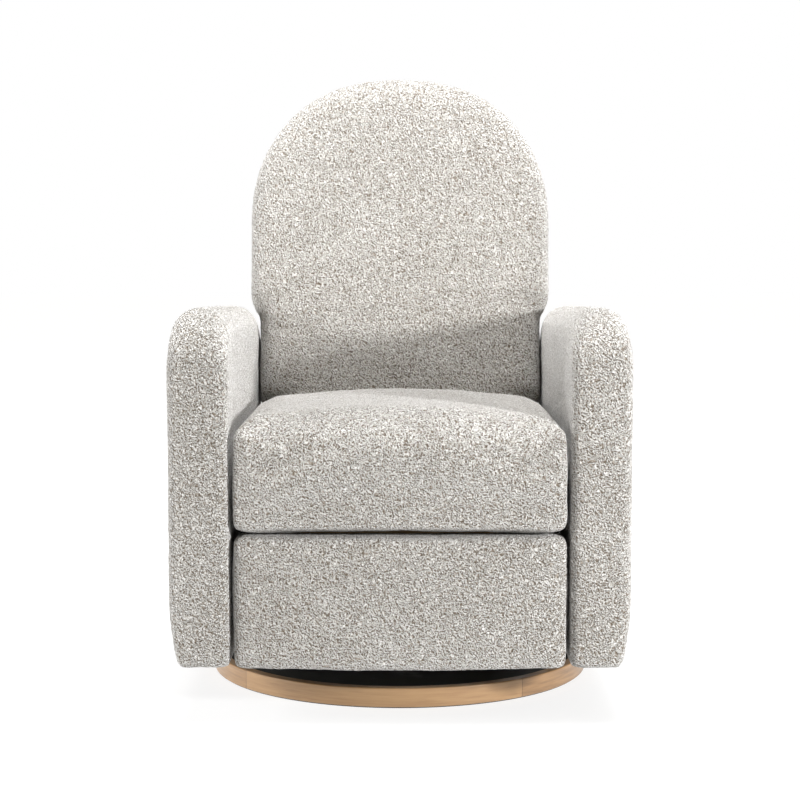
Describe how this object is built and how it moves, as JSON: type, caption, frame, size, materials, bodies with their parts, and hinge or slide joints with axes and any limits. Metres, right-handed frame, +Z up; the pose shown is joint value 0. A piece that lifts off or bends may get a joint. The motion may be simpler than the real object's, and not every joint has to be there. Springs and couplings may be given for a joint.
{
  "type": "glider nursery chair",
  "caption": "Upholstered swivel glider chair with arched back, thick rounded arms, folding footrest and a round wooden base ring.",
  "frame": {"origin": "on the floor under the middle of the chair, on the swivel axis", "axes": "+Z up along the swivel axis, -Y the way the sitter faces, +X to the sitter's left"},
  "size_m": [0.72, 0.8499, 1.0503],
  "materials": {
    "boucle": "looped wool-like weave, matt",
    "oak_ring": "clear satin lacquer on light brown veneer",
    "deck_black": "matt black",
    "black_steel": "satin black powder coat",
    "bright_steel": "zinc plated",
    "plywood": "raw birch plywood",
    "nylon": "natural",
    "rubber_strip": "matt",
    "lever_plastic": "fine grain"
  },
  "bodies": {
    "base": {"base_ring": "oak_ring", "floor_strip": "rubber_strip", "base_deck": "deck_black", "bearing_lower_race": "bright_steel", "bearing_balls": "bright_steel", "bearing_cage": "nylon", "lower_race_screws": "bright_steel"},
    "turntable": {"bearing_upper_race": "bright_steel", "glider_plate": "black_steel", "upright_left": "black_steel", "upright_right": "black_steel", "plate_bolts": "bright_steel", "glider_top_pins": "bright_steel"},
    "front_link_pair": {"front_links": "black_steel", "front_link_bushes": "nylon"},
    "rear_link_pair": {"rear_links": "black_steel", "rear_link_bushes": "nylon"},
    "chassis": {"glide_rail_left": "black_steel", "glide_rail_right": "black_steel", "glider_lower_pins": "bright_steel", "front_cross_tube": "black_steel", "rear_cross_tube": "black_steel", "arm_frame_left": "plywood", "arm_frame_right": "plywood", "arm_left": "boucle", "arm_right": "boucle", "rear_board": "plywood", "rear_panel": "boucle", "rear_board_brackets": "black_steel", "seat_track_left": "black_steel", "seat_track_right": "black_steel", "frame_bolts": "bright_steel", "release_bezel": "lever_plastic"},
    "lever": {"release_lever": "lever_plastic"},
    "seat": {"seat_plate_left": "black_steel", "seat_plate_right": "black_steel", "slide_blocks": "nylon", "seat_front_rail": "plywood", "seat_rear_rail": "plywood", "seat_springs": "bright_steel", "spring_clips": "bright_steel", "seat_cushion": "boucle", "back_pivot_pins": "bright_steel", "footrest_pivot_pins": "bright_steel"},
    "back": {"back_frame": "plywood", "back_springs": "bright_steel", "back_brackets": "black_steel", "back_cushion": "boucle", "back_cover": "boucle"},
    "near_bar_pair": {"near_bars": "black_steel", "near_bar_rivets": "bright_steel"},
    "near_cross_pair": {"near_cross_bars": "black_steel", "slide_pins": "bright_steel"},
    "far_bar_pair": {"far_bars": "black_steel", "far_bar_rivets": "bright_steel"},
    "far_cross_pair": {"far_cross_bars": "black_steel"},
    "tilt_link_pair": {"tilt_links": "black_steel"},
    "footrest": {"footrest_brackets": "black_steel", "footrest_board": "plywood", "footrest_pad": "boucle"}
  },
  "joints": [
    {"name": "swivel", "type": "hinge", "parent": "base", "child": "turntable", "pos_m": [0, 0, 0.035], "axis": [0, 0, 1], "continuous": true},
    {"name": "glide", "type": "hinge", "parent": "turntable", "child": "front_link_pair", "pos_m": [0, -0.11, 0.18], "axis": [1, 0, 0], "range_deg": [-30, 30]},
    {"name": "rear_link_swing", "type": "hinge", "parent": "turntable", "child": "rear_link_pair", "pos_m": [0, 0.11, 0.18], "axis": [1, 0, 0], "range_deg": [-30, 30]},
    {"name": "chassis_level", "type": "hinge", "parent": "front_link_pair", "child": "chassis", "pos_m": [0, -0.11, 0.08], "axis": [1, 0, 0], "range_deg": [-30, 30]},
    {"name": "release_lever_pull", "type": "hinge", "parent": "chassis", "child": "lever", "pos_m": [-0.351, -0.244, 0.372], "axis": [0, 0, 1], "range_deg": [0, 35], "stiffness_Nm_per_rad": 0.4},
    {"name": "seat_slide", "type": "slide", "parent": "chassis", "child": "seat", "axis": [0, -1, 0], "range_m": [0, 0.045]},
    {"name": "back_recline", "type": "hinge", "parent": "seat", "child": "back", "pos_m": [0, 0.221, 0.335], "axis": [-1, 0, 0], "range_deg": [0, 35]},
    {"name": "footrest_lift", "type": "hinge", "parent": "seat", "child": "near_bar_pair", "pos_m": [0, -0.27, 0.266], "axis": [-1, 0, 0], "range_deg": [0, 70]},
    {"name": "near_cross_fold", "type": "hinge", "parent": "near_bar_pair", "child": "near_cross_pair", "pos_m": [0, -0.28433, 0.18475], "axis": [-1, 0, 0], "range_deg": [-140, 0]},
    {"name": "far_bar_fold", "type": "hinge", "parent": "near_bar_pair", "child": "far_bar_pair", "pos_m": [0, -0.29865, 0.10351], "axis": [-1, 0, 0], "range_deg": [-140, 0]},
    {"name": "far_cross_fold", "type": "hinge", "parent": "far_bar_pair", "child": "far_cross_pair", "pos_m": [0, -0.31298, 0.18475], "axis": [-1, 0, 0], "range_deg": [0, 140]},
    {"name": "tilt_link_fold", "type": "hinge", "parent": "far_cross_pair", "child": "tilt_link_pair", "pos_m": [0, -0.32079, 0.14044], "axis": [-1, 0, 0], "range_deg": [-140, 0]},
    {"name": "footrest_turn", "type": "hinge", "parent": "far_bar_pair", "child": "footrest", "pos_m": [0, -0.3273, 0.266], "axis": [-1, 0, 0], "range_deg": [0, 147]}
  ],
  "couplings": [
    {"joint": "rear_link_swing", "follows": "glide", "ratio": 1},
    {"joint": "chassis_level", "follows": "glide", "ratio": -1},
    {"joint": "seat_slide", "follows": "back_recline", "m_per_rad": 0.0736},
    {"joint": "near_cross_fold", "follows": "footrest_lift", "ratio": -2},
    {"joint": "far_bar_fold", "follows": "footrest_lift", "ratio": -2},
    {"joint": "far_cross_fold", "follows": "footrest_lift", "ratio": 2},
    {"joint": "tilt_link_fold", "follows": "footrest_lift", "ratio": -2},
    {"joint": "footrest_turn", "follows": "footrest_lift", "ratio": 2.1}
  ]
}
